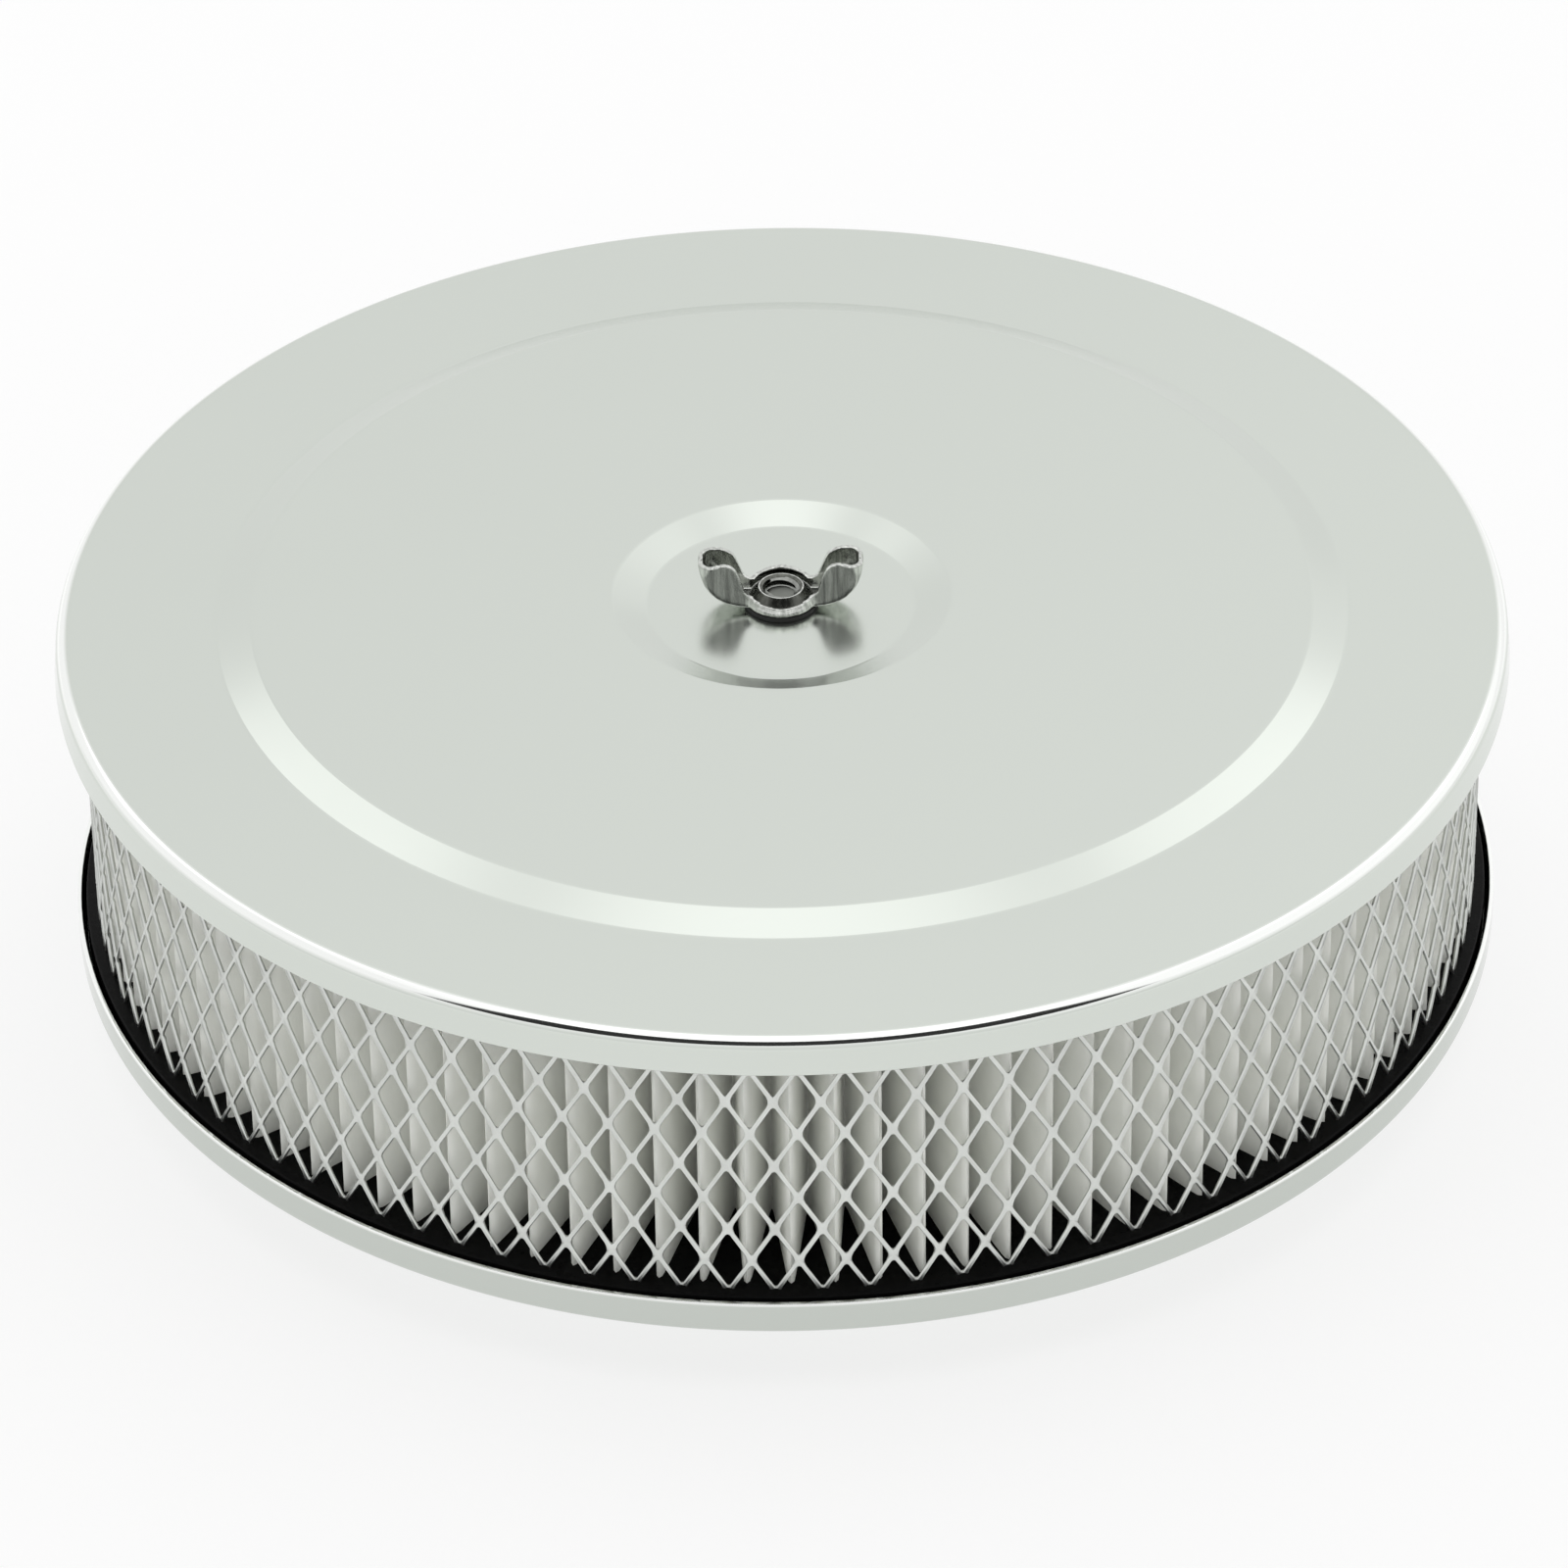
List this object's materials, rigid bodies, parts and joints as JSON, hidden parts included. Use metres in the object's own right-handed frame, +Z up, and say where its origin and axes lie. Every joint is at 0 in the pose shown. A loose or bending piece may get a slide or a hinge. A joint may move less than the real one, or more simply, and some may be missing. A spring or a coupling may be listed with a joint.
{
  "type": "round carburettor air cleaner",
  "caption": "Low round air filter housing: bright pressed lid and base pan clamp a pleated paper ring over a carburettor's air horn with one central stud and wing nut.",
  "frame": {"origin": "on the stud's axis, in the plane under the neck gasket that the housing rests on", "axes": "+Z up along the stud towards the wing nut; +X along the wing nut's span when it is tight; -Y towards the viewer"},
  "size_m": [0.2548, 0.2548, 0.0835],
  "materials": {
    "lid_chrome": "mirror-bright chrome plate on pressed steel",
    "pan_chrome": "mirror-bright chrome plate on pressed steel",
    "nut_chrome": "bright plate with fine drawing marks",
    "collar_steel": "bright zinc plate",
    "zinc_steel": "bright zinc plate, rolled threads",
    "screen_steel": "galvanised expanded sheet, satin",
    "clip_steel": "tinned strip",
    "filter_paper": "resin-treated paper, matte",
    "cap_rubber": "moulded soft plastic, smooth and matte",
    "gasket_rubber": "moulded rubber, matte",
    "washer_rubber": "die-cut rubber, matte"
  },
  "bodies": {
    "base": {"base_pan": "pan_chrome", "neck_collar": "collar_steel", "neck_gasket": "gasket_rubber", "stud": "zinc_steel"},
    "element": {"element_top_cap": "cap_rubber", "element_bottom_cap": "cap_rubber", "pleat_pack": "filter_paper", "pleat_seam_clip": "clip_steel", "outer_screen": "screen_steel", "inner_screen": "screen_steel"},
    "lid": {"lid": "lid_chrome"},
    "washer": {"seal_washer": "washer_rubber"},
    "wing_nut": {"wing_nut": "nut_chrome"}
  },
  "joints": [
    {"name": "element_lift", "type": "slide", "parent": "base", "child": "element", "axis": [0, 0, 1], "range_m": [0, 0.08]},
    {"name": "lid_lift", "type": "slide", "parent": "element", "child": "lid", "axis": [0, 0, 1], "range_m": [0, 0.09]},
    {"name": "wing_nut_rise", "type": "slide", "parent": "lid", "child": "washer", "axis": [0, 0, 1], "range_m": [0, 0.00508]},
    {"name": "wing_nut_turn", "type": "hinge", "parent": "washer", "child": "wing_nut", "pos_m": [0, 0, 0.0745], "axis": [0, 0, 1], "range_deg": [0, 1440]}
  ],
  "couplings": [
    {"joint": "wing_nut_rise", "follows": "wing_nut_turn", "m_per_rad": 0.00020213}
  ]
}
